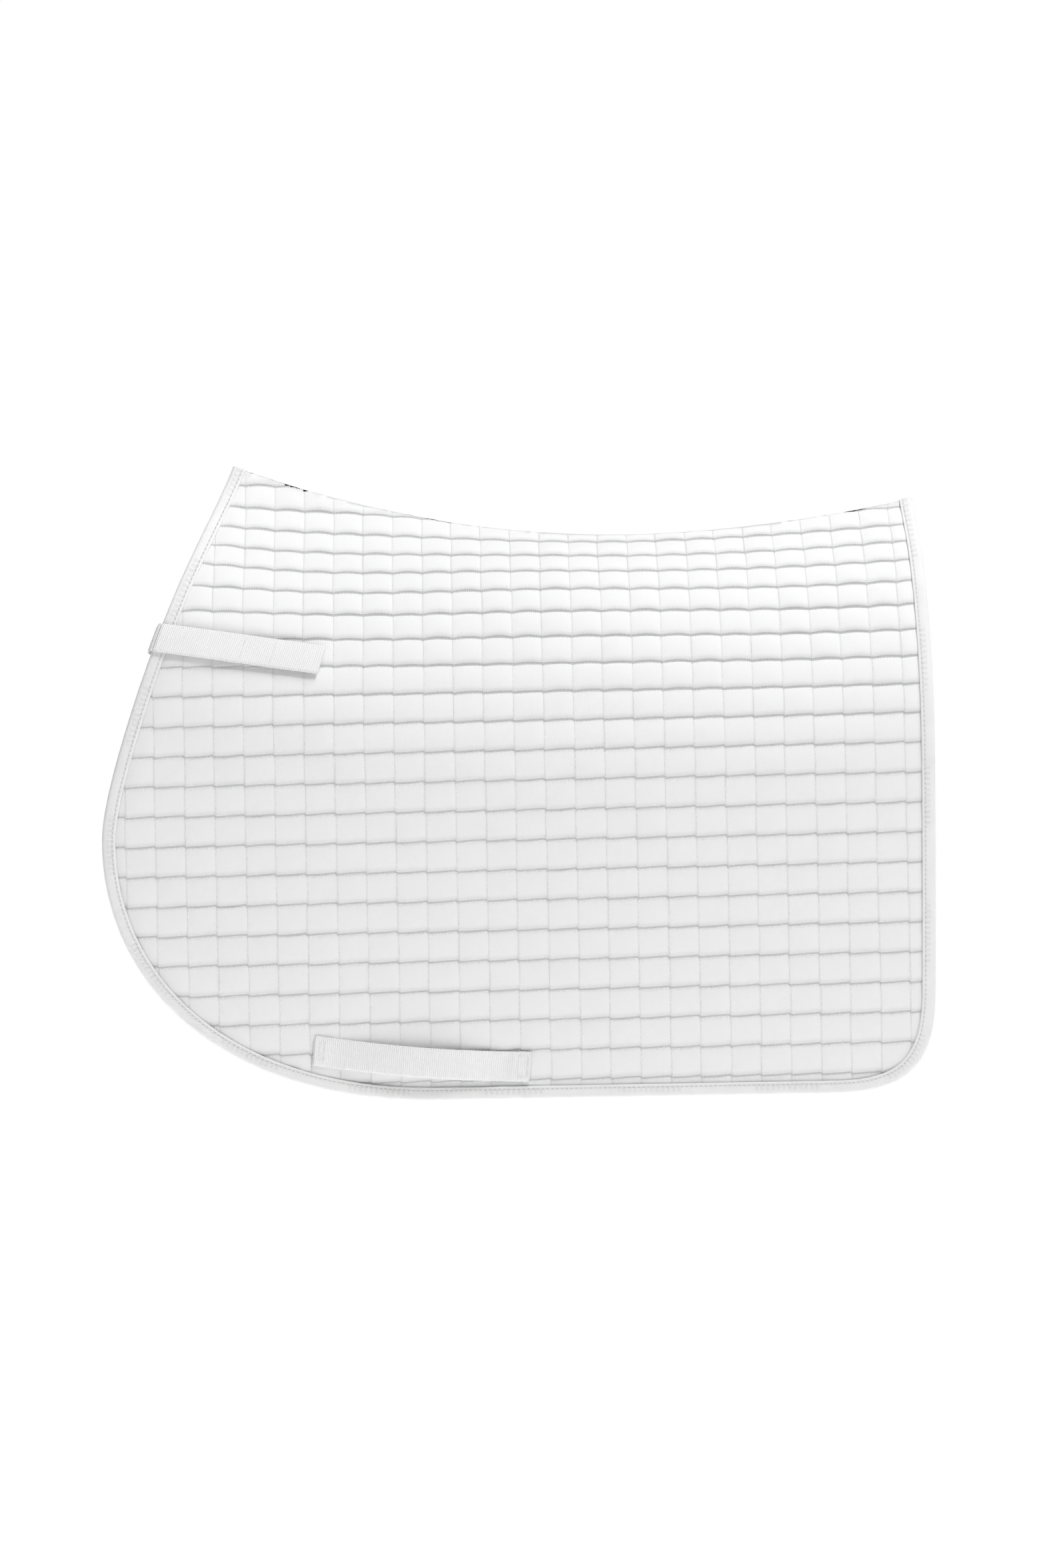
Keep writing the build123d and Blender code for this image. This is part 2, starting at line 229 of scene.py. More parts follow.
def quilt(u, v, inner=False):
    """Quilted cloth at grid coordinates counted in cells.

    Gives points, distance down, height, distance to the edge and the row for the UVs."""
    iu, iv = np.floor(u + 1e-6), np.floor(v + 1e-6)
    fu, fv = np.clip(u - iu, 0, 1), np.clip(v - iv, 0, 1)
    x = (GRID_X + CELL_ALONG * u - SKEW * (CELL * v + 7.4)) / (1 + SKEW * SKEW)
    w = GRID_W + CELL * v + SKEW * x
    top = seam_height(x) - look_up(DROP, x, np.full_like(x, CURVE_END)) + CURVE_END
    flap = smooth(top - w, 130, 245)
    saw = np.where(fu < 0.95, fu / 0.95, (1 - fu) / 0.05) - 0.5
    line_rise = (1 - flap) * 1.3 * np.sin(np.pi * fu) + flap * 1.4 * saw + 0.35 * noise(iu, iv, 3)\
        * np.sin(np.pi * fu)
    left = np.where(fv > 0, noise(iu, iv, 1), 0)
    right = np.where(fv > 0, noise(iu + 1, iv, 1), 0)
    x = x + 0.55 * (left * (1 - fu) + right * fu)
    clear = top - w - line_rise
    down = np.maximum(clear, 0)
    side_z = seam_height(x) - look_up(DROP, x, down) - np.maximum(down - CURVE_END, 0)
    pv = np.sin(np.pi * fv ** 0.78) ** 0.6
    pu = np.sin(np.pi * fu) ** 0.6
    column_share = 0.24 * flap + 0.42 * (1 - flap)
    puff = pv * (1 - column_share + column_share * pu) * (1 + 0.16 * noise(iu, iv, 5))
    sag = 0.9 * (0.5 - fv) * np.sin(np.pi * fv)
    height = (FLAP_PUFF * flap + ARCH_PUFF * (1 - flap)) * puff + sag
    edge = edge_distance(x, side_z)
    calm = smooth(edge, 8.5, 20) * smooth(down, 0, 12)
    height = height * (0.25 + 0.75 * calm)
    if inner:
        height = height * (1 - 0.8 * under_strap(x, side_z))
        depth = LINING_GROOVE + 0.40 * height
        depth = depth * (0.9 + 0.1 * calm)
    else:
        pressed = under_strap(x, side_z)
        height = height * (1 - 0.9 * pressed)
        depth = SHELL_GROOVE - height
    return cloth(x, down, depth), down, side_z, edge, v + np.minimum(clear, 0) / CELL


# --- meshes -----------------------------------------------------------------------------------
def build(name, points, faces, uv, material):
    """A mesh from points in millimetres, with one UV for each point, in metres."""
    mesh = bpy.data.meshes.new(name)
    faces = np.asarray(faces, int)
    mesh.vertices.add(len(points))
    mesh.vertices.foreach_set("co", (np.asarray(points, float) * MM).ravel())
    size = faces.shape[1]
    mesh.loops.add(faces.size)
    mesh.loops.foreach_set("vertex_index", faces.ravel())
    mesh.polygons.add(len(faces))
    mesh.polygons.foreach_set("loop_start", np.arange(0, faces.size, size))
    mesh.polygons.foreach_set("use_smooth", np.ones(len(faces), bool))
    mesh.update(calc_edges=True)
    layer = mesh.uv_layers.new(name="UVMap")
    layer.data.foreach_set("uv", (np.asarray(uv, float) * MM)[faces.ravel()].ravel())
    mesh.validate()
    mesh.materials.append(material)
    made = bpy.data.objects.new(name, mesh)
    bpy.context.scene.collection.objects.link(made)
    return made


def mirrored(points, faces, side):
    """The half on +Y is the mirror image, with its faces turned to match."""
    if side == "left":
        return points, faces
    return points * (1, -1, 1), faces[:, ::-1]


def grid_faces(rows, columns, wrap=False):
    index = np.arange(rows * columns).reshape(rows, columns)
    if wrap:
        index = np.concatenate([index, index[:, :1]], axis=1)
    corners = (index[:-1, :-1], index[:-1, 1:], index[1:, 1:], index[1:, :-1])
    return np.stack([c.ravel() for c in corners], axis=1)


def quilted_layer(name, side, inner, material):
    """One closed quilted layer: relief on its face, smooth at the middle of the foam."""
    stops = [np.add.outer(np.arange(a, b), s).ravel()
             for (a, b), s in ((GRID_COLUMNS, COLUMN_STOPS), (GRID_ROWS, ROW_STOPS))]
    u, v = np.meshgrid(*stops)
    points, down, side_z, edge, row = quilt(u, v, inner)
    x = points[..., 0]
    kept = inside(x, side_z) & (edge > 2.5)
    middle = cloth(x, down, TOTAL / 2 + (0.1 if inner else -0.1))
    rows, columns = u.shape
    faces = grid_faces(rows, columns)
    whole = kept.ravel()[faces].all(1) & (down.ravel()[faces] > 0).any(1)
    faces = faces[whole]
    used, packed = np.unique(faces, return_inverse=True)
    faces = packed.reshape(faces.shape)
    count = len(used)
    edges = np.concatenate([faces[:, [i, (i + 1) % 4]] for i in range(4)])
    keys = edges[:, 0] * count + edges[:, 1]
    rim = edges[~np.isin(keys, edges[:, 1] * count + edges[:, 0])]
    walls = np.stack([rim[:, 1], rim[:, 0], rim[:, 0] + count, rim[:, 1] + count], axis=1)
    all_points = np.concatenate([points.reshape(-1, 3)[used], middle.reshape(-1, 3)[used]])
    all_faces = np.concatenate([faces, faces[:, ::-1] + count, walls])
    if inner:
        all_faces = all_faces[:, ::-1]
    uv = np.stack([u.ravel()[used], row.ravel()[used]], axis=1) * CELL
    all_points, all_faces = mirrored(all_points, all_faces, side)
    return build(name, all_points, all_faces, np.concatenate([uv, uv]), material)


SPINDLE = np.array([(-1, 0, 0), (1, 0, 0), (0, 1, 0), (0, -1, 0), (0, 0, 1), (0, 0, -1)], float)
SPINDLE_FACES = np.array([(0, 3, 4), (3, 1, 4), (1, 2, 4), (2, 0, 4),
                          (3, 0, 5), (1, 3, 5), (2, 1, 5), (0, 2, 5)])


def stitches(name, side, starts, ends, width, material, lift=0.1):
    """Short beads of thread from starts to ends, raised off the half's face by lift."""
    along = ends - starts
    length = np.linalg.norm(along, axis=1)
    good = length > 0.2
    starts, ends, along, length = starts[good], ends[good], along[good], length[good]
    along /= length[:, None]
    outward = np.tile([0.0, -1.0, 0.35], (len(along), 1))
    across = np.cross(along, outward)
    across /= np.linalg.norm(across, axis=1)[:, None]
    up = np.cross(across, along)
    centre = (starts + ends) / 2 + up * lift
    scale = np.stack([length / 2, np.full_like(length, width), np.full_like(length, width)], 1)
    axes = np.stack([along, across, up], axis=1)
    points = centre[:, None] + np.einsum("pk,nk,nkc->npc", SPINDLE, scale, axes)
    faces = SPINDLE_FACES[None] + (np.arange(len(along)) * 6)[:, None, None]
    points, faces = mirrored(points.reshape(-1, 3), faces.reshape(-1, 3), side)
    return build(name, points, faces, points[:, [0, 2]], material)


def quilting_thread(name, side, material):
    """The stitches of every row and column of the quilting, seen on the outer face."""
    pitch = 1 / round(CELL / STITCH_PITCH)
    row_starts, rows = np.meshgrid(np.arange(*GRID_COLUMNS, pitch), np.arange(*GRID_ROWS))
    columns, column_starts = np.meshgrid(np.arange(*GRID_COLUMNS), np.arange(*GRID_ROWS, pitch),
                                         indexing="ij")
    row_starts, rows, columns, column_starts = (
        grid.ravel().astype(float) for grid in (row_starts, rows, columns, column_starts))
    starts, ends = [], []
    for start, end in (((row_starts, rows), (row_starts + 0.86 * pitch, rows)),
                       ((columns, column_starts), (columns, column_starts + 0.8 * pitch))):
        first, down, side_z, edge, _ = quilt(*start)
        shown = inside(first[:, 0], side_z) & (edge > BINDING_WIDTH) & (down > 3)
        shown &= under_strap(first[:, 0], side_z) < 0.4
        starts.append(first[shown])
        ends.append(quilt(*end)[0][shown])
    starts, ends = np.concatenate(starts), np.concatenate(ends)
    return stitches(name, side, starts, ends, THREAD_RADIUS, material)


def swept(name, side, rings, uv, material, closed_ends=True):
    """A band whose closed cross-sections are rings of points."""
    rings = np.asarray(rings, float)
    rows, columns = rings.shape[:2]
    faces = grid_faces(rows, columns, wrap=True)
    points = rings.reshape(-1, 3)
    if closed_ends:
        caps = []
        for start in (0, (rows - 1) * columns):
            for i in range(columns // 2 - 1):
                cap = [start + i, start + i + 1, start + columns - 2 - i, start + columns - 1 - i]
                caps.append(cap if start else cap[::-1])
        faces = np.concatenate([faces, caps])
    points, faces = mirrored(points, faces, side)
    return build(name, points, faces, np.asarray(uv, float).reshape(-1, 2), material)


# --- materials --------------------------------------------------------------------------------
class Look:
    """A material's nodes, put together from short formulas."""

    def __init__(self, name, roughness, sheen=0.25):
        self.material = bpy.data.materials.new(name)
        self.material.use_nodes = True
        self.tree = self.material.node_tree
        self.shader = self.tree.nodes["Principled BSDF"]
        self.shader.inputs["Roughness"].default_value = roughness
        self.shader.inputs["Sheen Weight"].default_value = sheen
        self.shader.inputs["Sheen Roughness"].default_value = 0.5
        self.shader.inputs["Specular IOR Level"].default_value = 0.25
        self.uv = self.tree.nodes.new("ShaderNodeTexCoord").outputs["UV"]
        split = self.tree.nodes.new("ShaderNodeSeparateXYZ")
        self.tree.links.new(self.uv, split.inputs[0])
        self.along, self.across = split.outputs[0], split.outputs[1]

    def feed(self, socket, value):
        if isinstance(value, (int, float)):
            socket.default_value = value
        else:
            self.tree.links.new(value, socket)

    def math(self, operation, *values):
        node = self.tree.nodes.new("ShaderNodeMath")
        node.operation = operation
        for socket, value in zip(node.inputs, values):
            self.feed(socket, value)
        return node.outputs[0]

    def wave(self, value, pitch, phase=0.0):
        """A ripple from 0 to 1 that repeats every pitch metres."""
        turns = self.math("MULTIPLY_ADD", value, 2 * math.pi / pitch, phase)
        return self.math("MULTIPLY_ADD", self.math("SINE", turns), 0.5, 0.5)

    def line_distance(self, value, pitch):
        """Distance in metres to the nearest multiple of pitch."""
        half = self.math("ADD", value, pitch / 2)
        inside_cell = self.math("FLOORED_MODULO", half, pitch)
        return self.math("ABSOLUTE", self.math("SUBTRACT", inside_cell, pitch / 2))

    def fade(self, value, start, end):
        """0 at start, 1 at end, smooth between."""
        node = self.tree.nodes.new("ShaderNodeMapRange")
        node.interpolation_type = "SMOOTHSTEP"
        for socket, v in zip(node.inputs, (value, start, end, 0.0, 1.0)):
            self.feed(socket, v)
        return node.outputs[0]

    def grain(self, scale, detail=3.0):
        node = self.tree.nodes.new("ShaderNodeTexNoise")
        coordinates = self.tree.nodes.new("ShaderNodeTexCoord").outputs["Object"]
        self.tree.links.new(coordinates, node.inputs["Vector"])
        node.inputs["Scale"].default_value = scale
        node.inputs["Detail"].default_value = detail
        return node.outputs["Fac"]

    def colour(self, dark, light, factor):
        node = self.tree.nodes.new("ShaderNodeMix")
        node.data_type = "RGBA"
        node.inputs["A"].default_value = (*dark, 1)
        node.inputs["B"].default_value = (*light, 1)
        self.tree.links.new(factor, node.inputs["Factor"])
        self.tree.links.new(node.outputs["Result"], self.shader.inputs["Base Color"])

    def bump(self, height, distance, strength=1.0):
        node = self.tree.nodes.new("ShaderNodeBump")
        node.inputs["Strength"].default_value = strength
        node.inputs["Distance"].default_value = distance
        self.tree.links.new(height, node.inputs["Height"])
        self.tree.links.new(node.outputs["Normal"], self.shader.inputs["Normal"])


def quilted_cotton(name, light):
    look = Look(name, 0.92)
    column = look.line_distance(look.along, CELL * MM)
    diagonal = look.math("ADD", look.along, look.across)
    weave = look.math("MULTIPLY", look.wave(diagonal, 0.0011), 0.22)
    threads = look.math("MULTIPLY", look.wave(look.along, 0.00062), 0.12)
    pucker = look.math("MULTIPLY", look.wave(look.along, STITCH_PITCH * MM),
                       look.math("SUBTRACT", 1.0, look.fade(
                           look.line_distance(look.across, CELL * MM), 0.0006, 0.0042)))
    pucker_up = look.math("MULTIPLY", look.wave(look.across, STITCH_PITCH * MM),
                          look.math("SUBTRACT", 1.0, look.fade(column, 0.0004, 0.0026)))
    relief = look.math("ADD", look.math("ADD", weave, threads),
                       look.math("MULTIPLY_ADD", pucker, 0.75,
                                 look.math("MULTIPLY", pucker_up, 0.4)))
    relief = look.math("MULTIPLY_ADD", look.grain(520.0), 0.35, relief)
    look.bump(relief, 0.0003, 0.85)
    # Painted shade at each row of stitches: a dark line just above the sewn groove, and a soft band
    # of shadow above it where the puffed cell above overhangs the row.
    above = look.math("SUBTRACT", look.math("FLOORED_MODULO",
                      look.math("ADD", look.across, CELL * MM / 2), CELL * MM), CELL * MM / 2)
    painted_crease_shade = look.math("SUBTRACT", 1.0, look.fade(
        look.math("ABSOLUTE", look.math("SUBTRACT", above, 0.0007)), 0.0003, 0.0011))
    shade = look.math("MULTIPLY", look.fade(above, 0.0, 0.0008),
                      look.math("SUBTRACT", 1.0, look.fade(above, 0.0010, 0.0062)))
    # Painted shade in the column grooves, broken into dots at the stitch pitch.
    column_dot_shade = look.math("MULTIPLY", look.math("SUBTRACT", 1.0, look.fade(column, 0.0003, 0.0011)),
                     look.wave(look.across, STITCH_PITCH * MM))
    tone = look.math("MULTIPLY_ADD", painted_crease_shade, -0.45, 0.93)
    tone = look.math("MULTIPLY_ADD", shade, -0.26, tone)
    tone = look.math("MULTIPLY_ADD", column_dot_shade, -0.26, tone)
    tone = look.math("MULTIPLY_ADD", look.grain(38.0, 5.0), 0.14, tone)
    dark = tuple(c * 0.50 for c in light)
    look.colour(dark, light, tone)
    return look.material


def woven_tape(name, light):
    """Diagonal weave, with groups of plain woven bars between gaps of bare tape."""
    look = Look(name, 0.85)
    twill = look.wave(look.math("MULTIPLY_ADD", look.across, 0.9, look.along), 0.0013)
    fine = look.wave(look.math("SUBTRACT", look.along, look.across), 0.0008)
    group = look.fade(look.line_distance(look.along, 0.114), 0.0262, 0.0268)
    band_low = look.fade(look.across, 0.0024, 0.0028)
    band_high = look.math("SUBTRACT", 1.0, look.fade(look.across, 0.0070, 0.0074))
    bars = look.fade(look.line_distance(look.along, 0.0046), 0.0009, 0.0012)
    motif = look.math("MULTIPLY", look.math("MULTIPLY", band_low, band_high),
                      look.math("MULTIPLY", look.math("SUBTRACT", 1.0, group), bars))
    relief = look.math("MULTIPLY_ADD", twill, 0.5, look.math("MULTIPLY", fine, 0.2))
    relief = look.math("MULTIPLY_ADD", motif, 0.6, relief)
    look.bump(relief, 0.00035, 0.9)
    tone = look.math("MULTIPLY_ADD", twill, 0.35, look.math("MULTIPLY", look.grain(60.0), 0.45))
    # Painted shade: a dark dashed line along the sunken stitching of the binding.
    seam = look.math("SUBTRACT", 1.0, look.fade(
        look.math("ABSOLUTE", look.math("SUBTRACT", look.across, 0.0028)), 0.0003, 0.0008))
    dash = look.fade(look.line_distance(look.along, 0.004), 0.0004, 0.0008)
    tone = look.math("MULTIPLY_ADD", motif, -0.25, look.math("ADD", tone, 0.45))
    tone = look.math("MULTIPLY_ADD", look.math("MULTIPLY", seam, dash), -0.9, tone)
    look.colour(tuple(c * 0.72 for c in light), light, tone)
    return look.material


def ribbed_webbing(name, light, width):
    look = Look(name, 0.82)
    ribs = look.wave(look.along, 0.0017)
    cords = look.wave(look.across, 0.0017)
    from_low = look.fade(look.across, 0.0012, 0.0018)
    from_high = look.math("SUBTRACT", 1.0,
                          look.fade(look.across, width * MM - 0.0018, width * MM - 0.0012))
    body = look.math("MULTIPLY", from_low, from_high)
    beads = look.math("MULTIPLY", look.wave(look.along, 0.0019), look.math("SUBTRACT", 1.0, body))
    relief = look.math("MULTIPLY", look.math("MULTIPLY_ADD", cords, 0.35, ribs), body)
    relief = look.math("MULTIPLY_ADD", beads, 1.3, relief)
    look.bump(relief, 0.0004, 0.9)
    tone = look.math("MULTIPLY_ADD", relief, 0.30,
                     look.math("MULTIPLY_ADD", look.grain(50.0), 0.35, 0.45))
    look.colour(tuple(c * 0.78 for c in light), light, tone)
    return look.material


def pile(name, light, scale, depth):
    look = Look(name, 0.95, sheen=0.6)
    look.bump(look.grain(scale, 2.0), depth, 1.0)
    look.colour(tuple(c * 0.7 for c in light), light, look.grain(scale * 0.6, 4.0))
    return look.material


def plain(name, light, scale=900.0):
    look = Look(name, 0.7)
    look.bump(look.grain(scale, 2.0), 0.0001, 0.6)
    look.colour(tuple(c * 0.85 for c in light), light, look.grain(scale * 0.3, 4.0))
    return look.material


SHELL = quilted_cotton("shell_cotton", (0.86, 0.86, 0.865))
LINING = quilted_cotton("lining_cotton", (0.83, 0.83, 0.82))
TAPE = woven_tape("binding_tape", (0.92, 0.92, 0.92))
WEB = ribbed_webbing("webbing", (0.95, 0.95, 0.95), 2 * WEAVE_HALF_WIDTH)
THREAD = plain("thread", (0.90, 0.90, 0.90))
HOOK = pile("hook_tape", (0.78, 0.78, 0.78), 1400.0, 0.0004)
PILE = pile("loop_pile", (0.82, 0.82, 0.82), 700.0, 0.0006)
FOAM = pile("foam", (0.85, 0.83, 0.74), 400.0, 0.0005)

NODE_LOOKS = {
    "outer_shell": SHELL, "foam_core": FOAM, "lining": LINING, "edge_binding": TAPE,
    "binding_stitching": THREAD, "strap_anchor": WEB, "strap_fold": WEB, "strap_tail": WEB,
    "strap_stitching": THREAD, "loop_patch": PILE, "hook_patch": HOOK,
    "hook_patch_stitching": THREAD, "girth_loop": WEB, "girth_loop_stitching": THREAD,
    "spine_tape": TAPE, "spine_tape_stitching": THREAD,
}
for node_name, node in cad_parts.items():
    base = node_name.split("_", 1)[1] if node_name.startswith(("left_", "right_")) else node_name
    node.data.materials.clear()
    node.data.materials.append(NODE_LOOKS[base])


# --- the binding ------------------------------------------------------------------------------
BINDING_RING = (
    (11.0, -1.0), (10.6, -1.4), (9.4, -1.55), (8.5, -1.3), (7.6, -1.6), (5.0, -1.75), (2.4, -1.7),
    (0.9, -1.2), (0.0, 0.0), (-0.35, 2.0), (-0.45, 4.0), (-0.35, 6.0), (0.0, 8.0), (0.9, 9.2),
    (2.4, 9.7), (5.0, 9.75), (7.6, 9.6), (8.5, 9.3), (9.4, 9.55), (10.6, 9.4), (11.0, 9.0),
    (10.8, 8.5), (4.0, 8.4), (1.6, 7.2), (1.2, 4.0), (1.2, 3.9), (1.6, 0.8), (4.0, -0.4),
    (10.8, -0.5), (11.0, -0.75),
)


def edge_surface(inset, depth):
    """Points at (inset, depth) off each point of the outline."""
    at = EDGE + EDGE_IN * inset
    return on_side(at[:, 0], at[:, 1], depth)


def binding(name, side):
    columns = []
    ripple = 0.16 * np.sin(EDGE_RUN / 3.1) * np.sin(EDGE_RUN / 23.0) + 0.12 * np.sin(EDGE_RUN / 8.3)
    for inset, depth in BINDING_RING:
        outer = -1 if depth < 4 else 1
        columns.append(edge_surface(inset, depth + outer * ripple))
    rings = np.stack(columns, axis=1)
    ring = np.array(BINDING_RING)
    around = np.concatenate([[0], np.cumsum(np.linalg.norm(np.diff(ring, axis=0), axis=1))])
    uv = np.stack(np.meshgrid(EDGE_RUN, around, indexing="ij"), axis=-1)
    return swept(name, side, rings, uv, TAPE)


def binding_dashes(name, side):
    pitch, share = 4.0, 0.72
    begin = np.arange(3, EDGE_RUN[-1] - 5, pitch)
    parts = []
    for depth in (-1.75, TOTAL + 1.75):
        ends = []
        for run in (begin, begin + pitch * share):
            p = np.stack([np.interp(run, EDGE_RUN, (EDGE + EDGE_IN * BINDING_STITCH_INSET)[:, i])
                          for i in (0, 1)], axis=1)
            ends.append(on_side(p[:, 0], p[:, 1], depth))
        parts.append(ends)
    starts = np.concatenate([parts[0][0], parts[1][0]])
    ends = np.concatenate([parts[0][1], parts[1][1]])
    return stitches(name, side, starts, ends, 0.42, THREAD, lift=0.0)


# --- the front strap --------------------------------------------------------------------------
def strap_line(share, across=0.0):
    """Side view of the strap: share from the front edge to its free end, across from -1 to 1."""
    rise = across * STRAP_HALF_WIDTH - STRAP_DROP
    edge = front_x(STRAP_FRONT[1] + rise)
    end = STRAP_END[0] + rise * STRAP_EDGE_LEAN
    z = STRAP_FRONT[1] + rise + (STRAP_END[1] - STRAP_FRONT[1]) * share
    return edge + (end - edge) * share, z


STRAP_ACROSS = np.linspace(-1, 1, 13)


def strap_ring(share, depth, reach=0.0, thickness=WEBBING, width=1.0):
    """A cross-section of the webbing; reach takes it out past the front edge."""
    outer, inner = [], []
    for t in STRAP_ACROSS:
        thin = thickness / 2 * (1 - 0.5 * abs(t) ** 14)
        x, z = strap_line(share, t * width)
        outer.append(on_side(x - reach, z, depth - thin))
        inner.append(on_side(x - reach, z, depth + thin))
    return outer + inner[::-1]


def strap_strip(name, side, stations, material, thickness=WEBBING, width=1.0):
    rings = [strap_ring(share, depth, 0.0, thickness, width) for share, depth in stations]
    middle = np.array(rings)[:, 6]
    run = np.concatenate([[0], np.cumsum(np.linalg.norm(np.diff(middle, axis=0), axis=1))])
    across = (STRAP_ACROSS + 1) * WEAVE_HALF_WIDTH
    around = np.concatenate([across, across[::-1]])
    uv = np.stack(np.meshgrid(run, around, indexing="ij"), axis=-1)
    return swept(name, side, rings, uv, material)


OUTER_DEPTH = -STRAP_STANDOFF - WEBBING / 2
INNER_DEPTH = TOTAL + 1.8 + 1.0 + WEBBING / 2


def strap_turn(name, side):
    """Where the webbing goes round the front edge, as a flattened half round."""
    centre, radius = (OUTER_DEPTH + INNER_DEPTH) / 2, (INNER_DEPTH - OUTER_DEPTH) / 2
    rings = []
    for turn in np.linspace(0, np.pi, 17):
        depth = centre - radius * math.cos(turn)
        ring_out, ring_in = [], []
        for t in STRAP_ACROSS:
            thin = WEBBING / 2 * (1 - 0.5 * abs(t) ** 14)
            x, z = strap_line(0.0, t)
            for ring, swell in ((ring_out, thin), (ring_in, -thin)):
                reach = 3.2 * math.sin(turn) ** 0.6 + swell * math.sin(turn)
                ring.append(on_side(x - reach, z, depth - swell * math.cos(turn)))
        rings.append(ring_out + ring_in[::-1])
    run = np.linspace(0, 26, 17)
    across = (STRAP_ACROSS + 1) * WEAVE_HALF_WIDTH
    uv = np.stack(np.meshgrid(run, np.concatenate([across, across[::-1]]), indexing="ij"), axis=-1)
    return swept(name, side, rings, uv, WEB, closed_ends=False)


def cross_stitches(name, side, shares, depth, reach=0.8, lift=0.0):
    starts, ends = [], []
    steps = np.linspace(-reach, reach, 12)
    for share in shares:
        for a, b in zip(steps[:-1], steps[1:]):
            x0, z0 = strap_line(share, a)
            x1, z1 = strap_line(share, a + (b - a) * 0.8)
            starts.append(on_side(x0, z0, depth))
            ends.append(on_side(x1, z1, depth))
    return stitches(name, side, np.array(starts), np.array(ends), THREAD_RADIUS, THREAD, lift)


# --- the girth loop ---------------------------------------------------------------------------
def on_flap(along, off, up):
    tilt = math.radians(LOOP_TILT)
    x = LOOP_CENTRE[0] + along * math.cos(tilt) + up * math.sin(tilt)
    z = LOOP_CENTRE[1] - along * math.sin(tilt) + up * math.cos(tilt)
    return np.stack([x, -HALF_WIDTH - 0.2 + off, z], axis=-1)


def loop_off(along):
    """The offset of the webbing's middle from the flap, negative outwards."""
    half = LOOP_LENGTH / 2
    shoulder = half - LOOP_FLAT
    arch = np.cos(np.clip(along / shoulder, -1, 1) * np.pi / 2) ** 1.4
    hem = WEBBING * smooth(along, shoulder - 6, shoulder)
    return -WEBBING / 2 - LOOP_BOW * arch - hem


def girth_loop(name, side):
    half = LOOP_LENGTH / 2
    steps = np.linspace(-half, half, 90)
    across = np.linspace(-1, 1, 13)
    rings = []
    for along in steps:
        sag = -LOOP_SAG * (1 - (along / half) ** 2)
        thin = WEBBING / 2 * (1 - 0.5 * np.abs(across) ** 14)
        up = across * LOOP_WIDTH / 2 + sag
        off = loop_off(along)
        outer = on_flap(np.full(13, along), off - thin, up)
        inner = on_flap(np.full(13, along), off + thin, up)
        rings.append(np.concatenate([outer, inner[::-1]]))
    width = (across + 1) * WEAVE_HALF_WIDTH
    uv = np.stack(np.meshgrid(steps + half, np.concatenate([width, width[::-1]]), indexing="ij"), -1)
    return swept(name, side, rings, uv, WEB)


def girth_hem(name, side):
    """The turned-under end, which the box of stitches holds."""
    half = LOOP_LENGTH / 2
    steps = np.linspace(half - LOOP_HEM, half + 0.4, 8)
    across = np.linspace(-1, 1, 13)
    rings = []
    for along in steps:
        thin = WEBBING / 2 * (1 - 0.5 * np.abs(across) ** 14)
        up = across * (LOOP_WIDTH / 2 - 0.2)
        outer = on_flap(np.full(13, along), -WEBBING / 2 - thin, up)
        inner = on_flap(np.full(13, along), -WEBBING / 2 + thin, up)
        rings.append(np.concatenate([outer, inner[::-1]]))
    width = (across + 1) * WEAVE_HALF_WIDTH
    uv = np.stack(np.meshgrid(steps, np.concatenate([width, width[::-1]]), indexing="ij"), -1)
    return swept(name, side, rings, uv, WEB)


def girth_stitches(name, side):
    half = LOOP_LENGTH / 2
    starts, ends = [], []

    def run(a, b, off, pitch=1.9):
        a, b = np.array(a, float), np.array(b, float)
        n = max(int(np.linalg.norm(b - a) / pitch), 1)
        for i in range(n):
            p, q = a + (b - a) * i / n, a + (b - a) * (i + 0.8) / n
            starts.append(on_flap(p[0], off, p[1]))
            ends.append(on_flap(q[0], off, q[1]))

    for left, right, low, high, off in ((5 - half, 9 - half, -7.5, 7.5, -WEBBING - 0.3),
                                        (half - 10, half - 2, -9, 9, -2 * WEBBING - 0.3)):
        run((left, low), (right, low), off)
        run((right, low), (right, high), off)
        run((right, high), (left, high), off)
        run((left, high), (left, low), off)
    return stitches(name, side, np.array(starts), np.array(ends), THREAD_RADIUS, THREAD, lift=0.0)


# --- the spine --------------------------------------------------------------------------------
def spine_run():
    return np.linspace(EDGE[0, 0] + 14, EDGE[-1, 0] - 14, 150)


def spine_tape(name):
    x = spine_run()
    y = np.linspace(-SPINE_TAPE_HALF_WIDTH, SPINE_TAPE_HALF_WIDTH, 13)
    rings = []
    for depth in (TOTAL + 0.7, TOTAL + 1.5):
        rows = []
        for at in y:
            stations = cloth(x, down_start(x, depth) + abs(at), depth)
            stations[:, 1] *= -np.sign(at)
            rows.append(stations)
        rings.append(np.stack(rows, axis=1))
    ring = np.concatenate([rings[0], rings[1][:, ::-1]], axis=1)
    around = np.concatenate([y, y[::-1]]) + SPINE_TAPE_HALF_WIDTH
    uv = np.stack(np.meshgrid(x, around * 0.45, indexing="ij"), axis=-1)
    return swept(name, "left", ring, uv, TAPE)


def down_start(x, depth):
    """How far down the cloth the layer at depth comes clear of the spine plane."""
    near = np.arange(0, 40, 0.5)
    found = []
    for at in x:
        reach = np.maximum.accumulate(-cloth(np.full(len(near), at), near, depth)[:, 1])
        found.append(np.interp(0.16, reach, near))
    return np.array(found)


def spine_stitches(name):
    x = spine_run()
    depth = TOTAL + 1.75
    rows = cloth(x, down_start(x, depth) + SPINE_STITCH_Y, depth)
    fine = np.arange(x[0] + 2, x[-1] - 4, 3.2)
    starts = np.stack([np.interp(fine, x, rows[:, i]) for i in range(3)], axis=1)
    ends = np.stack([np.interp(fine + 2.3, x, rows[:, i]) for i in range(3)], axis=1)
    flip = np.array([1, -1, 1])
    both = np.concatenate([starts, starts * flip]), np.concatenate([ends, ends * flip])
    return stitches(name, "left", *both, THREAD_RADIUS, THREAD, lift=0.0)


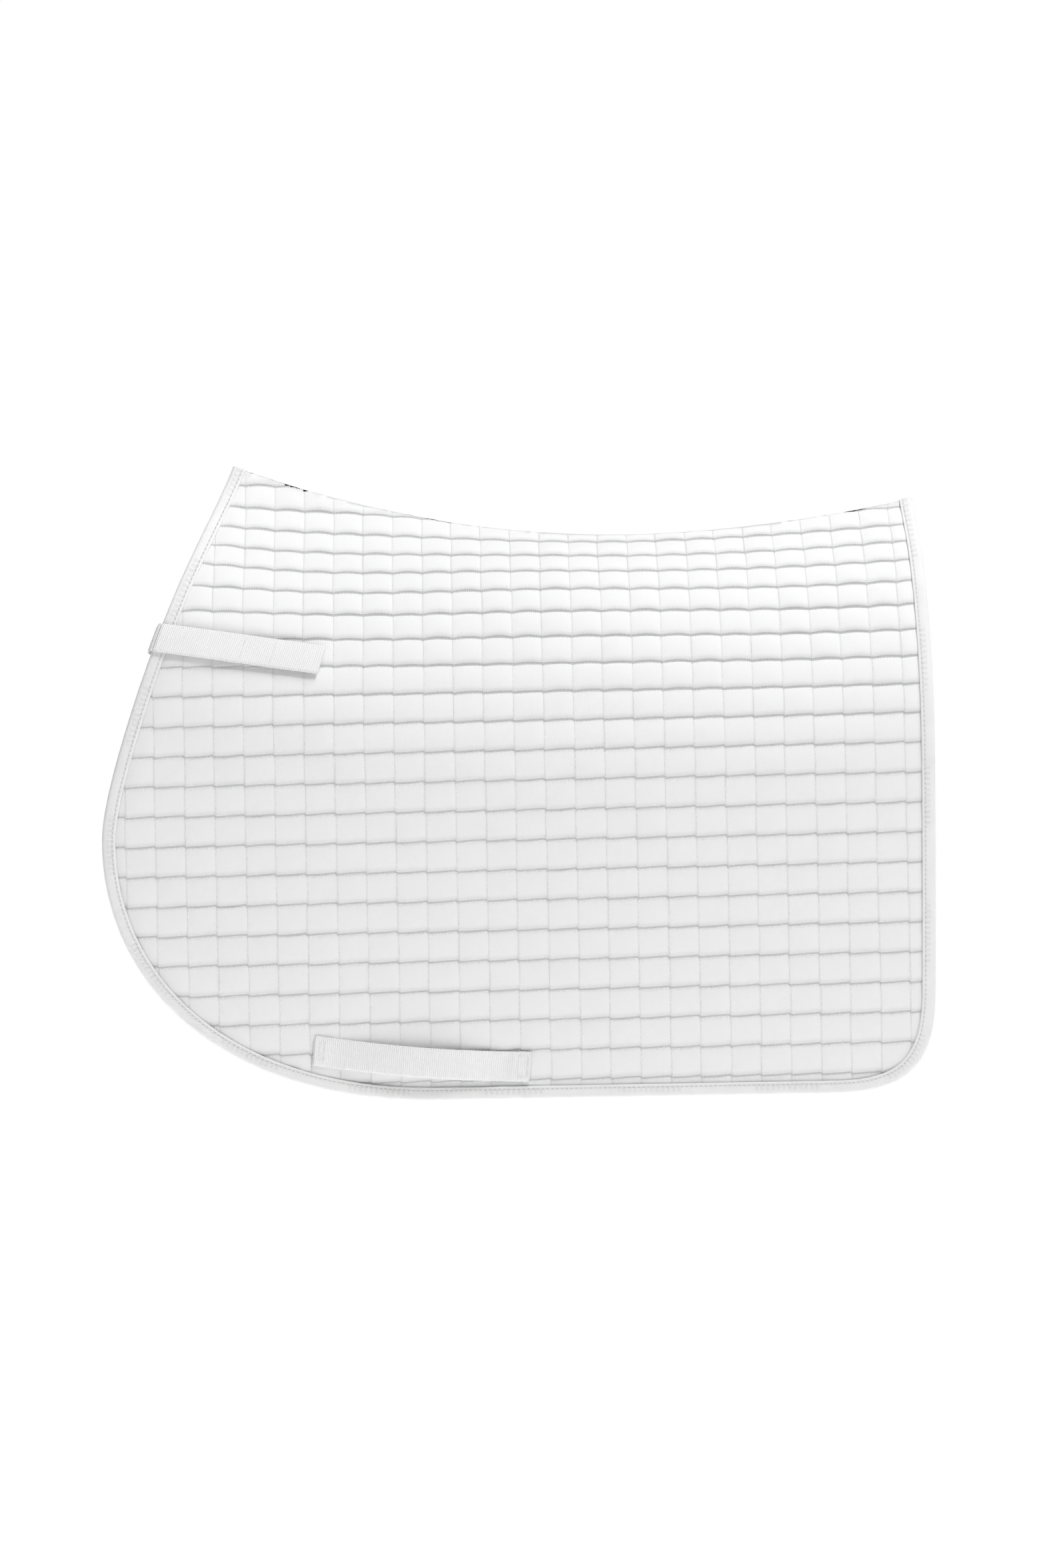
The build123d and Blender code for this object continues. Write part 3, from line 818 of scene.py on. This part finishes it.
# --- both halves ------------------------------------------------------------------------------
def finish_piece(piece, slot, body, *nodes, bend=None):
    if bend:
        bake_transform(piece)
    else:
        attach(piece, body)
    if nodes:
        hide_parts(*nodes)
    return piece


for side, sign in (("left", -1), ("right", 1)):
    half, strap = f"{side}_half", f"{side}_strap"
    seam_bend = ((0, 0, 0.02), (0, sign * 0.045, 0.02))
    shell = quilted_layer(f"{side}_quilted_shell", side, False, SHELL)
    finish_piece(shell, "shell_cotton", half, f"{side}_outer_shell", f"{side}_foam_core",
                 bend=seam_bend)
    lining = quilted_layer(f"{side}_quilted_lining", side, True, LINING)
    finish_piece(lining, "lining_cotton", half, f"{side}_lining", bend=seam_bend)
    finish_piece(quilting_thread(f"{side}_quilting_thread", side, THREAD), "thread", half,
                 bend=seam_bend)
    finish_piece(binding(f"{side}_bound_edge", side), "binding_tape", half,
                 f"{side}_edge_binding", bend=seam_bend)
    finish_piece(binding_dashes(f"{side}_binding_dashes", side), "thread", half,
                 f"{side}_binding_stitching", bend=seam_bend)
    outside = [(s, OUTER_DEPTH) for s in np.linspace(1, 0, 46)]
    within = [(s, INNER_DEPTH - 2.2 * float(smooth(s, 0.04, 0.14)))
              for s in np.linspace(0, SEWN_END, 26)]
    finish_piece(strap_strip(f"{side}_strap_web", side, outside, WEB), "webbing", strap,
                 f"{side}_strap_tail")
    finish_piece(strap_strip(f"{side}_strap_inner_leg", side, within, WEB), "webbing", half,
                 f"{side}_strap_anchor")
    turn = strap_turn(f"{side}_strap_turn", side)
    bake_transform(turn)
    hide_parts(f"{side}_strap_fold")
    finish_piece(cross_stitches(f"{side}_inner_leg_stitches", side, (0.26, 0.30, 0.47),
                                TOTAL + 0.6 + WEBBING + 0.3), "thread", half,
                 f"{side}_strap_stitching")
    finish_piece(strap_strip(f"{side}_loop_pile", side,
                             [(s, -0.6) for s in np.linspace(*LOOP_SPAN, 24)], PILE, 0.8, 0.95),
                 "loop_pile", half, f"{side}_loop_patch")
    finish_piece(strap_strip(f"{side}_hook_tape", side,
                             [(s, 0.6 - STRAP_STANDOFF) for s in np.linspace(*HOOK_SPAN, 16)],
                             HOOK, 0.8, 0.9),
                 "hook_tape", strap, f"{side}_hook_patch")
    finish_piece(cross_stitches(f"{side}_patch_stitches", side,
                                (HOOK_SPAN[0] + 0.01, HOOK_SPAN[1] - 0.015),
                                -STRAP_STANDOFF - WEBBING - 0.1), "thread", strap,
                 f"{side}_hook_patch_stitching")
    finish_piece(girth_loop(f"{side}_girth_web", side), "webbing", half, f"{side}_girth_loop")
    finish_piece(girth_hem(f"{side}_girth_hem", side), "webbing", half)
    finish_piece(girth_stitches(f"{side}_girth_stitches", side), "thread", half,
                 f"{side}_girth_loop_stitching")

finish_piece(spine_tape("seam_tape"), "binding_tape", "spine", "spine_tape")
finish_piece(spine_stitches("seam_tape_stitches"), "thread", "spine", "spine_tape_stitching")

# --- studio -----------------------------------------------------------------------------------
FLOOR_Z = -1.05


def floor():
    """A pale round floor, well below the pad."""
    turn = np.linspace(0, 2 * np.pi, 65)[:-1]
    radii = np.array([0.01, 1.5, 4.0, 9.0])[:, None]
    points = np.stack([radii * np.cos(turn), radii * np.sin(turn), 0 * radii * turn + FLOOR_Z], -1)
    points = points.reshape(-1, 3) / MM
    faces = grid_faces(len(radii), len(turn), wrap=True)
    look = Look("studio_paper", 1.0, sheen=0.0)
    look.colour((0.90, 0.90, 0.90), (0.93, 0.93, 0.93), look.grain(2.0))
    look.shader.inputs["Emission Color"].default_value = (1, 1, 1, 1)
    look.shader.inputs["Emission Strength"].default_value = 0.80
    build("studio_floor", points, faces[:, ::-1], points[:, :2], look.material)


def lamp(name, place, target, size, power):
    data = bpy.data.lights.new(name, "AREA")
    data.shape, data.size, data.energy = "DISK", size, power
    made = bpy.data.objects.new(name, data)
    made.location = place
    made.rotation_euler = (Vector(target) - Vector(place)).to_track_quat("-Z", "Y").to_euler()
    bpy.context.scene.collection.objects.link(made)


floor()
lamp("key", (1.2, -1.6, 2.9), (0, 0, -0.2), 0.7, 43)
lamp("fill", (-1.8, -3.2, 0.2), (0, 0, -0.25), 2.6, 5)
lamp("top", (0.8, -0.4, 2.6), (0, 0, 0), 1.5, 50)

world = bpy.data.worlds.new("studio")
world.use_nodes = True
sky = world.node_tree.nodes["Background"]
sky.inputs["Color"].default_value = (1, 1, 1, 1)
paths = world.node_tree.nodes.new("ShaderNodeLightPath")
strength = world.node_tree.nodes.new("ShaderNodeMapRange")
strength.inputs["To Min"].default_value = 0.24     # what lights the pad
strength.inputs["To Max"].default_value = 1.0      # the white behind it
world.node_tree.links.new(paths.outputs["Is Camera Ray"], strength.inputs["Value"])
world.node_tree.links.new(strength.outputs["Result"], sky.inputs["Strength"])
bpy.context.scene.world = world
bpy.context.scene.view_settings.view_transform = "Standard"

camera = bpy.data.objects.new("camera", bpy.data.cameras.new("camera"))
camera.data.sensor_fit = "VERTICAL"
camera.data.sensor_height = 36
camera.data.lens = 110.2
camera.location = (0.0019, -4.132, -0.2079)
camera.rotation_euler = (math.pi / 2, 0, 0)
bpy.context.scene.collection.objects.link(camera)
bpy.context.scene.camera = camera

bpy.context.view_layer.update()
